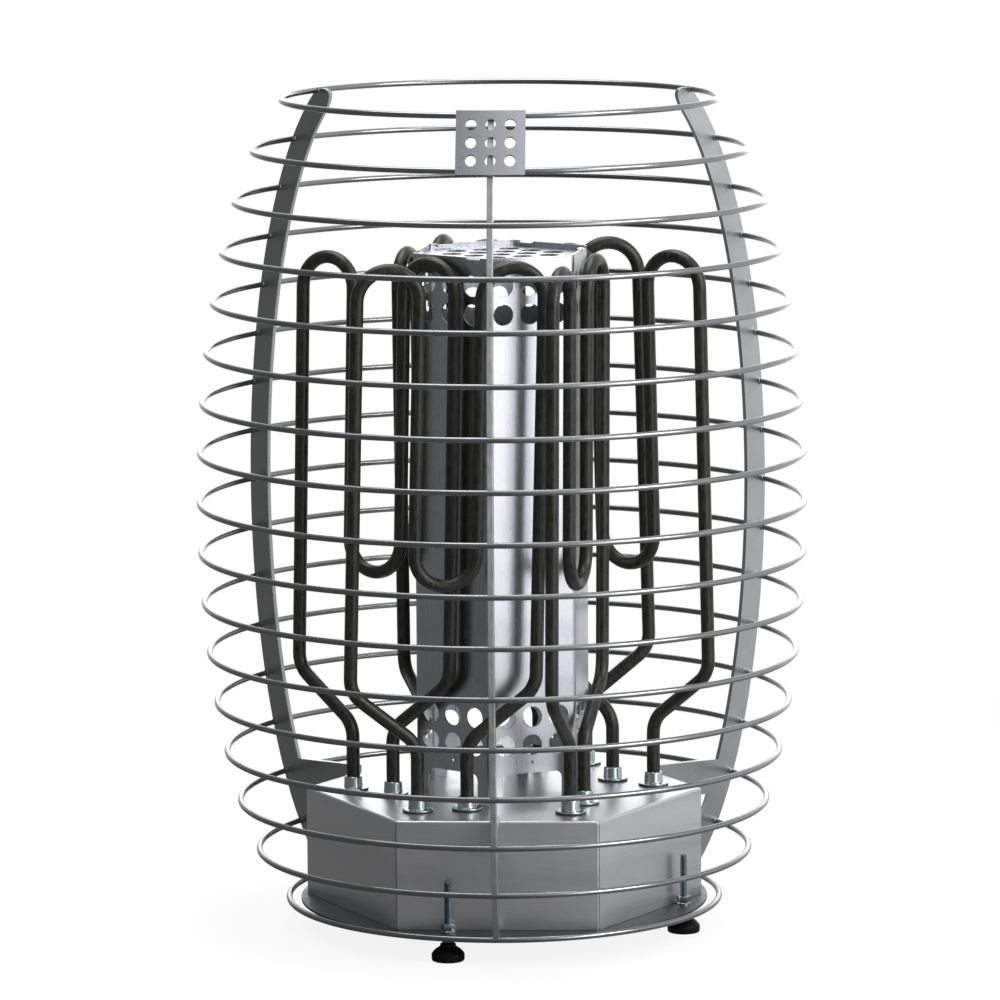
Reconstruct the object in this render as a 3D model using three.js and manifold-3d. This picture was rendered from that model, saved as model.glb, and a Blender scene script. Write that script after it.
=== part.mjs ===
// A floor-standing electric sauna stove. Round hoops on three notched ribs make an open barrel for the stones.
// Inside it a perforated air column and six bent heating elements stand on a terminal box with levelling feet.

import * as THREE from 'three';
import { mergeVertices } from 'three/addons/utils/BufferGeometryUtils.js';
import Module from 'manifold-3d';

const { degToRad } = THREE.MathUtils;

// Driving dimensions, in millimetres and degrees. The front of the stove faces -Y, and the floor is at z = 0.

const gap = 0.3;                // air left between pieces that touch

const hoopCount = 17;
const hoopPitch = 42.83;
const hoopRod = 5;
const lowestHoop = 24;          // height of the lowest hoop's centre line
const cageCore = 147.5;         // the barrel's side is an ellipse, whose centre stands this far from the axis
const cageBulge = 110;          // half width of that ellipse
const cageReach = 8.5;          // half height of that ellipse, in hoop pitches
const hoopSides = 24;
const rodSides = 6;

const ribAzimuths = { rib_front: -90, rib_right: 30, rib_left: 150 };
const ribWidth = 20;
const ribThickness = 5;
const ribTip = 1.5;             // how far a rib stands above the top hoop's centre
const ribRound = 22;            // drop of the rounded inner corner at a rib's top
const notchGap = 0.6;
const tabTop = 122;
const tabBottom = 92;

const plateRadius = 174.5;
const plateThickness = 2.5;
const plateTop = lowestHoop;

const sheet = 1.5;              // thickness of folded sheet steel
const boxRadius = 170;          // centre to corner
const boxTop = 117;
const boxFold = 2;              // chamfer that stands for the folded top edge

const columnRadius = 79;        // centre to corner
const columnTurn = -6.8;
const columnTop = 581;
const rimHeight = 4.5;          // the column's wall stands this far above its cap
const holeDiameter = 17.5;
const holePitch = 24;
const holeRows = [166, 190, 533, 557];
const cutoutWidth = 54;
const cutoutTop = 142;
const cutoutRound = 7;
const rimTabWidth = 16;
const rimTabDepth = 7;
const rimTabOffset = 26;        // from the middle of a face

const elementRod = 11.4;
const elementPitch = 52.6;      // between neighbouring legs
const elementTop = 458;         // of the rod's centre line, above the box
const elementMiddle = 191;      // of the lowest point of the middle bend, above the box
const elementTail = 32;         // cold end inside the box
const elementLean = 1.5;        // the bent part leans along its own plane
const terminalPitch = 42;
const jogFoot = 45;             // height above the box where the ends start to spread
const jogAngle = 52;
const jogRadius = 25;
const seatRadius = 113;         // from the axis to the middle of an element's two terminals
const elementSeats = [
  { azimuth: -168.5, turn: -32.5 },
  { azimuth: -115, turn: 11.4 },
  { azimuth: -54.5, turn: 75.8 },
];                              // the other three stand half a turn round

const collarDiameter = 15.2;
const collarHeight = 12;
const flangeDiameter = 26;
const flangeThickness = 2.2;
const terminalBore = 12.9;

const badgeWidth = 57;
const badgeHeight = 50;
const badgeMiddle = 689;
const badgeThickness = 2;
const badgeGap = 0.8;           // the rib's edge stands a little proud of the straight line between two hoops
const badgeHole = 9;
const badgeHolePitch = { across: 16, up: 14 };

const footAzimuths = [-105, -15, 75, 165];
const footRadius = 160;
const studDiameter = 6;
const studTop = 67;
const padDiameter = 28;
const padHeight = 14.5;
const nutAcrossFlats = 10;
const nutHeight = 6;
const washerDiameter = 12.4;

const glandHeight = 55;         // of the supply cable, above the floor
const glandThread = 10;         // radius of the gland where it passes the wall

const wasm = await Module();
wasm.setup();

// Booleans on closed geometries

function toSolid(geometry) {
  const bare = geometry.clone();
  bare.deleteAttribute('normal');
  bare.deleteAttribute('uv');
  const merged = mergeVertices(bare, 1e-4);
  const vertProperties = merged.attributes.position.array;
  const triVerts = Uint32Array.from(merged.index.array);
  return new wasm.Manifold(new wasm.Mesh({ numProp: 3, vertProperties, triVerts }));
}

function toGeometry(solid) {
  const mesh = solid.asOriginal().simplify(1e-3).getMesh();
  const geometry = new THREE.BufferGeometry();
  geometry.setAttribute('position', new THREE.BufferAttribute(mesh.vertProperties, 3));
  geometry.setIndex(new THREE.BufferAttribute(mesh.triVerts, 1));
  geometry.computeVertexNormals();
  return geometry;
}

function cut(base, tools) {
  return tools.reduce((solid, tool) => solid.subtract(toSolid(tool)), base);
}

// Shapes that several pieces use

function disc(radius, segments) {
  const points = [];
  for (let i = 0; i < segments; i += 1) {
    const angle = (2 * Math.PI * i) / segments;
    points.push(new THREE.Vector2(radius * Math.cos(angle), radius * Math.sin(angle)));
  }
  return points;
}

function slab(outline, holes, depth) {
  const shape = new THREE.Shape(outline);
  shape.holes = holes.map((hole) => new THREE.Path(hole));
  return new THREE.ExtrudeGeometry(shape, { depth, bevelEnabled: false });
}

function shifted(points, x, y) {
  return points.map((point) => new THREE.Vector2(point.x + x, point.y + y));
}

// Turns a profile of [radius, height] pairs about the Z axis. A closed profile makes a ring.
function turned(profile, segments, closed = false) {
  const points = profile.map(([radius, height]) => new THREE.Vector2(radius, height));
  if (closed) {
    points.push(points[0].clone());
  }
  return new THREE.LatheGeometry(points, segments).rotateX(Math.PI / 2);
}

// A six-sided prism with a corner at azimuth -90 plus turn, chamfered at its top edge.
function hexPrism(radius, bottom, top, turn, chamfer = 0) {
  const profile = [[0, bottom], [radius, bottom], [radius, top - chamfer]];
  if (chamfer > 0) {
    profile.push([radius - chamfer, top]);
  }
  profile.push([0, top]);
  return turned(profile, 6).rotateZ(degToRad(turn));
}

// A long bar along X whose section is the shape, with the shape's x along +Y and its y along +Z.
function crossBar(shape, length) {
  return new THREE.ExtrudeGeometry(shape, { depth: length, bevelEnabled: false, curveSegments: 3 })
    .translate(0, 0, -length / 2)
    .rotateX(Math.PI / 2)
    .rotateZ(Math.PI / 2);
}

function polar(radius, azimuth) {
  const angle = degToRad(azimuth);
  return new THREE.Vector3(radius * Math.cos(angle), radius * Math.sin(angle), 0);
}

// Materials, one for each piece

function steel() {
  return new THREE.MeshStandardMaterial({ color: 0xa9aaae, roughness: 0.35, metalness: 1 });
}

function zinc() {
  return new THREE.MeshStandardMaterial({ color: 0xb4c3c8, roughness: 0.3, metalness: 1 });
}

function oxide() {
  return new THREE.MeshStandardMaterial({ color: 0x2f2d25, roughness: 0.6, metalness: 0.5 });
}

function blackPlastic() {
  return new THREE.MeshStandardMaterial({ color: 0x101010, roughness: 0.45, metalness: 0 });
}

function ceramic() {
  return new THREE.MeshStandardMaterial({ color: 0xe6dfcf, roughness: 0.5, metalness: 0 });
}

const stove = new THREE.Group();

function add(name, geometry, material, parent = stove) {
  const mesh = new THREE.Mesh(geometry, material);
  mesh.name = name;
  parent.add(mesh);
  return mesh;
}

// Hoops: the barrel's radius follows the ellipse at each hoop's height

const cageMiddle = lowestHoop + (hoopPitch * (hoopCount - 1)) / 2;
const cageHalfHeight = hoopPitch * cageReach;

function cageRadius(height) {
  const rise = (height - cageMiddle) / cageHalfHeight;
  return cageCore + cageBulge * Math.sqrt(1 - rise * rise);
}

function cageSlope(height) {
  const rise = (height - cageMiddle) / cageHalfHeight;
  return (-cageBulge * rise) / (cageHalfHeight * Math.sqrt(1 - rise * rise));
}

function hoopHeight(fromTop) {
  return lowestHoop + hoopPitch * (hoopCount - 1 - fromTop);
}

function addHoops() {
  for (let i = 0; i < hoopCount; i += 1) {
    const hoop = new THREE.TorusGeometry(cageRadius(hoopHeight(i)), hoopRod / 2, rodSides, hoopSides);
    const mesh = add(`hoop_${String(i + 1).padStart(2, '0')}`, hoop, steel());
    mesh.position.z = hoopHeight(i);
    mesh.rotation.z = degToRad(ribAzimuths.rib_front);
  }
}

// Ribs: flat bars in the planes of the axis, notched for each hoop on the outer edge

function ribOuter(height) {
  return cageRadius(height) + hoopRod / 2;
}

function ribInner(height) {
  return ribOuter(height) - ribWidth * Math.hypot(1, cageSlope(height));
}

function ribOutline() {
  const bottom = plateTop + gap;
  const top = hoopHeight(0) + ribTip;
  const half = hoopRod / 2 + gap;
  const outline = new THREE.Shape();
  outline.moveTo(ribInner(bottom), bottom);
  for (let i = hoopCount - 1; i >= 0; i -= 1) {
    const low = hoopHeight(i) - half;
    const high = hoopHeight(i) + half;
    const seat = cageRadius(hoopHeight(i)) - hoopRod / 2 - notchGap;
    if (low > bottom) {
      outline.lineTo(ribOuter(low), low);
    }
    outline.lineTo(seat, Math.max(low, bottom));
    outline.lineTo(seat, Math.min(high, top));
    if (high < top) {
      outline.lineTo(ribOuter(high), high);
    }
  }
  outline.quadraticCurveTo(ribInner(top), top, ribInner(top - ribRound), top - ribRound);
  const boxFace = boxRadius * Math.cos(degToRad(30)) + gap;
  for (let i = 1; hoopHeight(i) > tabTop; i += 1) {
    outline.lineTo(ribInner(hoopHeight(i)), hoopHeight(i));
  }
  outline.lineTo(ribInner(tabTop), tabTop);
  outline.lineTo(boxFace, tabTop);
  outline.lineTo(boxFace, tabBottom);
  outline.lineTo(ribInner(tabBottom), tabBottom);
  outline.lineTo(ribInner((tabBottom + bottom) / 2), (tabBottom + bottom) / 2);
  return outline;
}

function addRibs() {
  const rib = new THREE.ExtrudeGeometry(ribOutline(), {
    depth: ribThickness, bevelEnabled: false, curveSegments: 4,
  });
  rib.translate(0, 0, -ribThickness / 2).rotateX(Math.PI / 2);
  for (const [name, azimuth] of Object.entries(ribAzimuths)) {
    add(name, rib, steel()).rotation.z = degToRad(azimuth);
  }
}

// Plate at the front of the two top hoops: a sector of a cone, pierced with plain round holes

function addNamePlate() {
  const top = badgeMiddle + badgeHeight / 2;
  const lean = (cageRadius(hoopHeight(1)) - cageRadius(hoopHeight(0))) / hoopPitch;
  const radiusAt = (height) => ribOuter(hoopHeight(0)) + badgeGap + lean * (hoopHeight(0) - height);
  const topRadius = radiusAt(top);
  const reach = badgeWidth / 2 / topRadius;
  const sector = new THREE.Shape();
  sector.absarc(0, 0, topRadius, -reach, reach, false);
  sector.absarc(0, 0, topRadius + badgeThickness * Math.hypot(1, lean), reach, -reach, true);
  const plate = new THREE.ExtrudeGeometry(sector, { depth: badgeHeight, bevelEnabled: false, curveSegments: 2 });
  const place = plate.attributes.position;
  for (let i = 0; i < place.count; i += 1) {
    const drop = badgeHeight - place.getZ(i);
    const radius = Math.hypot(place.getX(i), place.getY(i)) + lean * drop;
    const angle = Math.atan2(place.getY(i), place.getX(i)) * (topRadius / (topRadius + lean * drop));
    place.setXYZ(i, radius * Math.cos(angle), radius * Math.sin(angle), top - drop);
  }
  const holes = [];
  for (const column of [-1, 0, 1]) {
    for (const row of [-1, 0, 1]) {
      const height = badgeMiddle + row * badgeHolePitch.up;
      const radius = radiusAt(height);
      const hole = crossBar(new THREE.Shape(disc(badgeHole / 2, 8)), badgeWidth);
      hole.rotateY(Math.atan(lean)).translate(radius, 0, height);
      holes.push(hole.rotateZ((column * badgeHolePitch.across) / radius));
    }
  }
  const pierced = toGeometry(cut(toSolid(plate), holes));
  add('name_plate', pierced, steel()).rotation.z = degToRad(ribAzimuths.rib_front);
}

// Base plate and terminal box

function addBasePlate() {
  const holes = footAzimuths.map((azimuth) => {
    const centre = polar(footRadius, azimuth);
    return shifted(disc(studDiameter / 2 + 0.5, 8), centre.x, centre.y);
  });
  const plate = slab(disc(plateRadius, 40), holes, plateThickness);
  add('base_plate', plate, steel()).position.z = plateTop - plateThickness;
}

function terminalSeats() {
  const halfTurn = elementSeats.map(({ azimuth, turn }) => ({ azimuth: azimuth + 180, turn: turn + 180 }));
  return [...elementSeats, ...halfTurn];
}

function addTerminalBox() {
  const turn = 30;
  const bottom = plateTop + gap;
  const wall = sheet / Math.cos(degToRad(30));
  const shell = toSolid(hexPrism(boxRadius, bottom, boxTop, turn, boxFold))
    .subtract(toSolid(hexPrism(boxRadius - wall, bottom - 1, boxTop - sheet, turn)));
  const tools = [];
  for (const { azimuth, turn: plane } of terminalSeats()) {
    for (const side of [-1, 1]) {
      const bore = turned([[0, boxTop - 10], [terminalBore / 2, boxTop - 10], [terminalBore / 2, boxTop + 10],
        [0, boxTop + 10]], 8);
      const centre = polar(seatRadius, azimuth).add(polar((side * terminalPitch) / 2, plane));
      tools.push(bore.translate(centre.x, centre.y, 0));
    }
  }
  const glandHole = crossBar(new THREE.Shape(disc(glandThread + 1.2, 8)), 40);
  tools.push(glandHole.translate(boxRadius * Math.cos(degToRad(30)), 0, glandHeight).rotateZ(degToRad(90)));
  add('terminal_box', toGeometry(cut(shell, tools)), steel());
}

// Air column: a six-sided tube with rows of holes at both ends, standing on corner legs, with a cap near its top

function addAirColumn() {
  const bottom = boxTop + gap;
  const wall = sheet / Math.cos(degToRad(30));
  const flat = columnRadius * Math.cos(degToRad(30));
  const reach = 2.5 * columnRadius;
  let tube = toSolid(hexPrism(columnRadius, bottom, columnTop, columnTurn))
    .subtract(toSolid(hexPrism(columnRadius - wall, bottom - 1, columnTop + 1, columnTurn)));

  const foot = new THREE.Shape();
  foot.moveTo(-cutoutWidth / 2, bottom - 1);
  foot.lineTo(cutoutWidth / 2, bottom - 1);
  foot.lineTo(cutoutWidth / 2, cutoutTop - cutoutRound);
  foot.absarc(cutoutWidth / 2 - cutoutRound, cutoutTop - cutoutRound, cutoutRound, 0, Math.PI / 2, false);
  foot.absarc(cutoutRound - cutoutWidth / 2, cutoutTop - cutoutRound, cutoutRound, Math.PI / 2, Math.PI, false);

  const capTop = columnTop - rimHeight;
  for (let face = 0; face < 6; face += 1) {
    const angle = degToRad(columnTurn - 60 + 60 * face);
    if (face < 3) {
      const tools = [crossBar(foot, reach)];
      for (const row of holeRows) {
        for (const column of [-1, 0, 1]) {
          const circle = shifted(disc(holeDiameter / 2, 8), column * holePitch, row);
          tools.push(crossBar(new THREE.Shape(circle), reach));
        }
      }
      tube = cut(tube, tools.map((tool) => tool.rotateZ(angle)));
    }
    const notchFloor = capTop + gap + sheet + 0.2;
    const notch = new THREE.BoxGeometry(20, rimTabWidth, 2 * rimHeight)
      .translate(flat, rimTabOffset, notchFloor + rimHeight)
      .rotateZ(angle);
    const tab = new THREE.BoxGeometry(rimTabDepth, rimTabWidth, sheet)
      .translate(flat - sheet / 2 - rimTabDepth / 2, rimTabOffset, capTop + gap + sheet / 2)
      .rotateZ(angle);
    tube = tube.subtract(toSolid(notch)).add(toSolid(tab));
  }
  add('air_column', toGeometry(tube), steel());

  const capRadius = columnRadius - wall - gap;
  const holes = [];
  for (let i = -2; i <= 2; i += 1) {
    for (let j = -2; j <= 2; j += 1) {
      if (Math.abs(i + j) <= 2) {
        const centre = polar(i * holePitch, 0).add(polar(j * holePitch, 60));
        holes.push(shifted(disc(holeDiameter / 2, 8), centre.x, centre.y));
      }
    }
  }
  const cap = slab(disc(capRadius, 6), holes, sheet);
  const mesh = add('column_cap', cap, steel());
  mesh.rotation.z = degToRad(columnTurn - 30);
  mesh.position.z = capTop - sheet;
}

// Heating elements: a rod bent in its own plane, listed as runs and bends from one terminal to the other

class BentRod extends THREE.Curve {
  constructor(stations) {
    super();
    this.stations = stations;
  }

  stationAt(u) {
    return this.stations[Math.round(u * (this.stations.length - 1))];
  }

  getPointAt(u, target = new THREE.Vector3()) {
    return target.copy(this.stationAt(u).place);
  }

  getTangentAt(u, target = new THREE.Vector3()) {
    return target.copy(this.stationAt(u).heading);
  }
}

// Follows the moves in the XZ plane from a start point, first heading up. A positive turn is to the left.
function bendRod(x, z, moves) {
  const stepAngle = 30;
  const stations = [];
  let angle = 90;
  const record = () => stations.push({ place: new THREE.Vector3(x, 0, z), heading: headingAt(angle) });
  const headingAt = (degrees) => {
    const direction = polar(1, degrees);
    return new THREE.Vector3(direction.x, 0, direction.y);
  };
  record();
  for (const { run = 0, radius = 0, turn = 0 } of moves) {
    const steps = Math.ceil(Math.abs(turn) / stepAngle);
    const stepTurn = turn / Math.max(steps, 1);
    const chord = 2 * radius * Math.sin(degToRad(Math.abs(stepTurn) / 2));
    for (let i = 0; i < Math.max(steps, 1); i += 1) {
      const along = headingAt(angle + stepTurn / 2);
      const advance = steps > 0 ? chord : run;
      x += along.x * advance;
      z += along.z * advance;
      angle += stepTurn;
      record();
    }
  }
  return stations;
}

function elementGeometry() {
  const bend = elementPitch / 2;
  const spread = 1.5 * elementPitch - terminalPitch / 2;
  const turnIn = 2 * jogRadius * (1 - Math.cos(degToRad(jogAngle)));
  const slant = (spread - turnIn) / Math.sin(degToRad(jogAngle));
  const jogRise = 2 * jogRadius * Math.sin(degToRad(jogAngle)) + slant * Math.cos(degToRad(jogAngle));
  const outerLeg = elementTop - bend - jogFoot - jogRise;
  const innerLeg = elementTop - elementMiddle - 2 * bend;
  const stations = bendRod(-terminalPitch / 2, -elementTail, [
    { run: elementTail + jogFoot },
    { radius: jogRadius, turn: jogAngle },
    { run: slant },
    { radius: jogRadius, turn: -jogAngle },
    { run: outerLeg },
    { radius: bend, turn: -180 },
    { run: innerLeg },
    { radius: bend, turn: 180 },
    { run: innerLeg },
    { radius: bend, turn: -180 },
    { run: outerLeg },
    { radius: jogRadius, turn: -jogAngle },
    { run: slant },
    { radius: jogRadius, turn: jogAngle },
    { run: elementTail + jogFoot },
  ]);
  const lean = Math.tan(degToRad(elementLean));
  for (const { place, heading } of stations) {
    if (place.z > jogFoot) {
      place.x += lean * (place.z - jogFoot);
      heading.x += lean * heading.z;
      heading.normalize();
    }
  }
  const section = new THREE.Shape(disc(elementRod / 2, rodSides));
  return new THREE.ExtrudeGeometry(section, { steps: stations.length - 1, extrudePath: new BentRod(stations) });
}

function fittingGeometry() {
  const bore = terminalBore / 2;
  const collar = collarDiameter / 2;
  const flange = flangeDiameter / 2;
  return turned([[bore, 0], [flange, 0], [flange, flangeThickness], [collar, flangeThickness + 0.6],
    [collar, collarHeight], [bore, collarHeight]], 8, true);
}

function addElements() {
  const rod = elementGeometry();
  const fitting = fittingGeometry();
  terminalSeats().forEach(({ azimuth, turn }, index) => {
    const seat = new THREE.Group();
    seat.position.copy(polar(seatRadius, azimuth)).setZ(boxTop);
    seat.rotation.z = degToRad(turn);
    stove.add(seat);
    add(`element_${index + 1}`, rod, oxide(), seat);
    ['a', 'b'].forEach((end, side) => {
      const piece = add(`fitting_${index + 1}${end}`, fitting, zinc(), seat);
      piece.position.set((side - 0.5) * terminalPitch, 0, gap);
    });
  });
}

// Levelling feet: a stud that screws through the base plate and turns in a plastic pad

function addFeet() {
  const stud = studDiameter / 2;
  const padRim = padDiameter / 2;
  const socket = stud + gap;
  const socketFloor = 9;
  const pad = turned([[0, 0], [padRim - 0.8, 0], [padRim, 1], [padRim, 5.5], [padRim - 2.5, 9], [7.2, 12.5],
    [6.5, padHeight], [socket, padHeight], [socket, socketFloor], [0, socketFloor]], 12);
  const collar = 4.6;
  const collarTop = padHeight + gap + 2.5;
  const rod = turned([[0, socketFloor + gap], [stud, socketFloor + gap], [stud, padHeight + gap],
    [collar, padHeight + gap], [collar, collarTop], [stud, collarTop], [stud, studTop - 0.8],
    [stud - 0.8, studTop], [0, studTop]], 8);
  const bore = stud + 0.5;
  const washer = slab(disc(washerDiameter / 2, 16), [], 1.6);
  const hexagon = slab(disc(nutAcrossFlats / 2 / Math.cos(degToRad(30)), 6), [], nutHeight).translate(0, 0, 1.5);
  const drill = slab(disc(bore, 8), [], 20).translate(0, 0, -5);
  const nut = toGeometry(toSolid(washer).add(toSolid(hexagon)).subtract(toSolid(drill)));
  footAzimuths.forEach((azimuth, index) => {
    const foot = new THREE.Group();
    foot.position.copy(polar(footRadius, azimuth));
    foot.rotation.z = degToRad(azimuth);
    stove.add(foot);
    add(`foot_pad_${index + 1}`, pad, blackPlastic(), foot);
    add(`foot_stud_${index + 1}`, rod, zinc(), foot);
    add(`foot_nut_${index + 1}`, nut, zinc(), foot).position.z = plateTop + gap;
  });
}

// Inside the box: a ceramic block for the leads and an earth stud, and a gland for the supply cable at the back

function addWiring() {
  const blockLength = 96;
  const blockDepth = 34;
  const blockHeight = 30;
  const wellPitch = 15;
  const well = 9;
  const wells = [];
  for (let i = 0; i < 6; i += 1) {
    wells.push(new THREE.BoxGeometry(well, well, 24)
      .translate((i - 2.5) * wellPitch, 0, blockHeight));
  }
  const block = cut(toSolid(new THREE.BoxGeometry(blockLength, blockDepth, blockHeight)
    .translate(0, 0, blockHeight / 2)), wells);
  add('terminal_block', toGeometry(block), ceramic()).position.z = plateTop + gap;

  const earth = turned([[0, 0], [8, 0], [8, 1.6], [5.6, 1.6], [5.6, 6.6], [3, 6.6], [3, 22], [0, 22]], 6);
  add('earth_stud', earth, zinc()).position.set(70, 30, plateTop + gap);

  const clear = sheet / 2 + gap;
  const gland = turned([[5.5, -16], [12, -16], [12, -clear], [glandThread, -clear], [glandThread, clear],
    [13, clear], [13, 12], [10, 18], [5.5, 18]], 8, true);
  gland.rotateX(-Math.PI / 2);
  const wallMiddle = boxRadius * Math.cos(degToRad(30)) - sheet / 2;
  add('cable_gland', gland, blackPlastic()).position.set(0, wallMiddle, glandHeight);
}

addHoops();
addRibs();
addNamePlate();
addBasePlate();
addTerminalBox();
addAirColumn();
addElements();
addFeet();
addWiring();

export default stove;
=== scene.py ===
import math

import bpy
import numpy as np
from mathutils import Matrix, Vector


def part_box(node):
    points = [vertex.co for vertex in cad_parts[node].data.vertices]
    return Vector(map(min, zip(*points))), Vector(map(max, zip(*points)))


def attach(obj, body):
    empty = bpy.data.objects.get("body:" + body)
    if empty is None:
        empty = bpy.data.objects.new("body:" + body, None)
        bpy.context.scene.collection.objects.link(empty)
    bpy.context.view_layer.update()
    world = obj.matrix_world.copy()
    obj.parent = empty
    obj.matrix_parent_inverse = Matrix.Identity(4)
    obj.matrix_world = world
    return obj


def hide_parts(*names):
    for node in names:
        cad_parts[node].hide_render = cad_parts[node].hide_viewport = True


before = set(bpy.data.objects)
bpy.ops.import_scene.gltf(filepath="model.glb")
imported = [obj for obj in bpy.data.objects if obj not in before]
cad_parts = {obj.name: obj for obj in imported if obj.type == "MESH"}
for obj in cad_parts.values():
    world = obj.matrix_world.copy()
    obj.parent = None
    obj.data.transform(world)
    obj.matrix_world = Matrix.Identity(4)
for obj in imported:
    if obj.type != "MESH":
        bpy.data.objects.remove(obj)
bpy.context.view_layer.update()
bpy.context.scene.view_settings.view_transform = "Standard"


# Foot pads: the stove stands on four black plastic bells. Each is moulded in one piece,
# with a waisted neck that clips over the end of its levelling stud.

def grid_faces(rows, columns, close_rows=False, close_columns=True):
    """Quads of a grid whose point (i, j) has index i * columns + j, wrapped round where it closes."""
    i, j = np.meshgrid(np.arange(rows if close_rows else rows - 1),
                       np.arange(columns if close_columns else columns - 1), indexing="ij")
    after_i, after_j = (i + 1) % rows, (j + 1) % columns
    corners = (i * columns + j, i * columns + after_j, after_i * columns + after_j, after_i * columns + j)
    return np.stack(corners, -1).reshape(-1, 4)


def capped_faces(rows, columns):
    """Quads of a grid that closes round its columns, with one face over each end."""
    first, last = range(columns), range((rows - 1) * columns, rows * columns)
    return grid_faces(rows, columns).tolist() + [list(first)[::-1], list(last)]


def turned(profile, segments=48, ring=False):
    """Profile of (radius, height) carried round Z: x = r cos a, y = r sin a. A ring closes on itself."""
    radius, height = np.array(profile, float).T
    angle = np.linspace(0, 2 * np.pi, segments, endpoint=False)
    points = np.stack([radius[:, None] * np.cos(angle), radius[:, None] * np.sin(angle),
                       np.repeat(height[:, None], segments, 1)], -1).reshape(-1, 3)
    if ring:
        return points, grid_faces(len(radius), segments, close_rows=True).tolist()
    return points, capped_faces(len(radius), segments)


def rounded(profile, radius, steps=4):
    """Open profile with each inner corner replaced by a quadratic arc that starts the radius before it."""
    points = np.array(profile, float)
    line = [points[0]]
    for before, corner, after in zip(points, points[1:], points[2:]):
        reach_in = min(radius, np.linalg.norm(before - corner) / 2)
        reach_out = min(radius, np.linalg.norm(after - corner) / 2)
        start = corner + (before - corner) * reach_in / np.linalg.norm(before - corner)
        end = corner + (after - corner) * reach_out / np.linalg.norm(after - corner)
        t = np.linspace(0, 1, steps + 1)[:, None]
        line.extend((1 - t) ** 2 * start + 2 * t * (1 - t) * corner + t ** 2 * end)
    return np.array(line + [points[-1]])


def piece(name, shape, material, body, nodes=(), sharp=35, smooth=True):
    """Mesh object of points and faces at the origin, smooth up to a sharp angle, that rides on a body."""
    points, faces = shape
    mesh = bpy.data.meshes.new(name)
    mesh.from_pydata(points.tolist(), [], faces)
    if smooth:
        mesh.polygons.foreach_set("use_smooth", np.full(len(mesh.polygons), True))
        mesh.set_sharp_from_angle(angle=math.radians(sharp))
    mesh.materials.append(material)
    obj = bpy.data.objects.new(name, mesh)
    bpy.context.collection.objects.link(obj)
    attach(obj, body)
    if nodes:
        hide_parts(*nodes)
    return obj


NOISE_LOW, NOISE_HIGH = 0.3, 0.7    # most of the noise lies between these


def finish_of(name, colour, metallic, roughness, grain=(300, 300, 300), colour_spread=0.1,
              rough_spread=0.08, bump=0.0):
    """Principled material whose colour, gloss and relief vary with one noise on Object coordinates."""
    material = bpy.data.materials.new(name)
    material.use_nodes = True
    nodes, links = material.node_tree.nodes, material.node_tree.links
    shader = nodes["Principled BSDF"]
    shader.inputs["Metallic"].default_value = metallic
    place = nodes.new("ShaderNodeTexCoord")
    stretch = nodes.new("ShaderNodeMapping")
    stretch.inputs["Scale"].default_value = grain
    noise = nodes.new("ShaderNodeTexNoise")
    noise.inputs["Scale"].default_value = 1
    noise.inputs["Detail"].default_value = 4
    links.new(place.outputs["Object"], stretch.inputs["Vector"])
    links.new(stretch.outputs["Vector"], noise.inputs["Vector"])
    tint = nodes.new("ShaderNodeValToRGB")
    darker, lighter = tint.color_ramp.elements
    darker.position, lighter.position = NOISE_LOW, NOISE_HIGH
    darker.color = (*[c * (1 - colour_spread) for c in colour], 1)
    lighter.color = (*[min(1, c * (1 + colour_spread)) for c in colour], 1)
    links.new(noise.outputs["Fac"], tint.inputs["Fac"])
    links.new(tint.outputs["Color"], shader.inputs["Base Color"])
    gloss = nodes.new("ShaderNodeMapRange")
    gloss.inputs["From Min"].default_value = NOISE_LOW
    gloss.inputs["From Max"].default_value = NOISE_HIGH
    gloss.inputs["To Min"].default_value = roughness - rough_spread
    gloss.inputs["To Max"].default_value = roughness + rough_spread
    links.new(noise.outputs["Fac"], gloss.inputs["Value"])
    links.new(gloss.outputs["Result"], shader.inputs["Roughness"])
    if bump:
        relief = nodes.new("ShaderNodeBump")
        relief.inputs["Distance"].default_value = bump
        links.new(noise.outputs["Fac"], relief.inputs["Height"])
        links.new(relief.outputs["Normal"], shader.inputs["Normal"])
    return material


def centre_of(node):
    """Middle of a CAD node's box."""
    low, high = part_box(node)
    return np.array((low + high) / 2)


FEET = (1, 2, 3, 4)
PAD_RIM, PAD_SHOULDER, PAD_WAIST, PAD_NECK, PAD_SOCKET = 0.0139, 0.0106, 0.0068, 0.0064, 0.0033
RIM_FOOT, RIM_TOP, SHOULDER_AT, WAIST_AT, PAD_HEIGHT = 0.0022, 0.0062, 0.0098, 0.0122, 0.0145
SOLE_RADIUS, SOLE_EDGE, SOLE_LIFT, SOCKET_FLOOR, PAD_ROUND = 0.0119, 0.0135, 0.0001, 0.0092, 0.0012
PLASTIC_SHEEN = 0.12
black_plastic = finish_of("moulded black plastic", (0.004, 0.004, 0.0045), 0, 0.5, grain=(900, 900, 900),
                          bump=0.00004)
plastic_shader = black_plastic.node_tree.nodes["Principled BSDF"]
plastic_shader.inputs["Specular IOR Level"].default_value = PLASTIC_SHEEN
pad_profile = np.vstack([
    rounded([(SOLE_RADIUS, 0), (SOLE_EDGE, SOLE_LIFT), (PAD_RIM, RIM_FOOT), (PAD_RIM, RIM_TOP),
             (PAD_SHOULDER, SHOULDER_AT), (PAD_WAIST, WAIST_AT), (PAD_NECK, PAD_HEIGHT)], PAD_ROUND),
    [(PAD_SOCKET, PAD_HEIGHT), (PAD_SOCKET, SOCKET_FLOOR)]])
for foot in FEET:
    points, faces = turned(pad_profile)
    offset = centre_of(f"foot_pad_{foot}") * (1, 1, 0)
    piece(f"foot-pad-{foot}", (points + offset, faces), black_plastic, f"pad_{foot}",
          [f"foot_pad_{foot}"])


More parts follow.
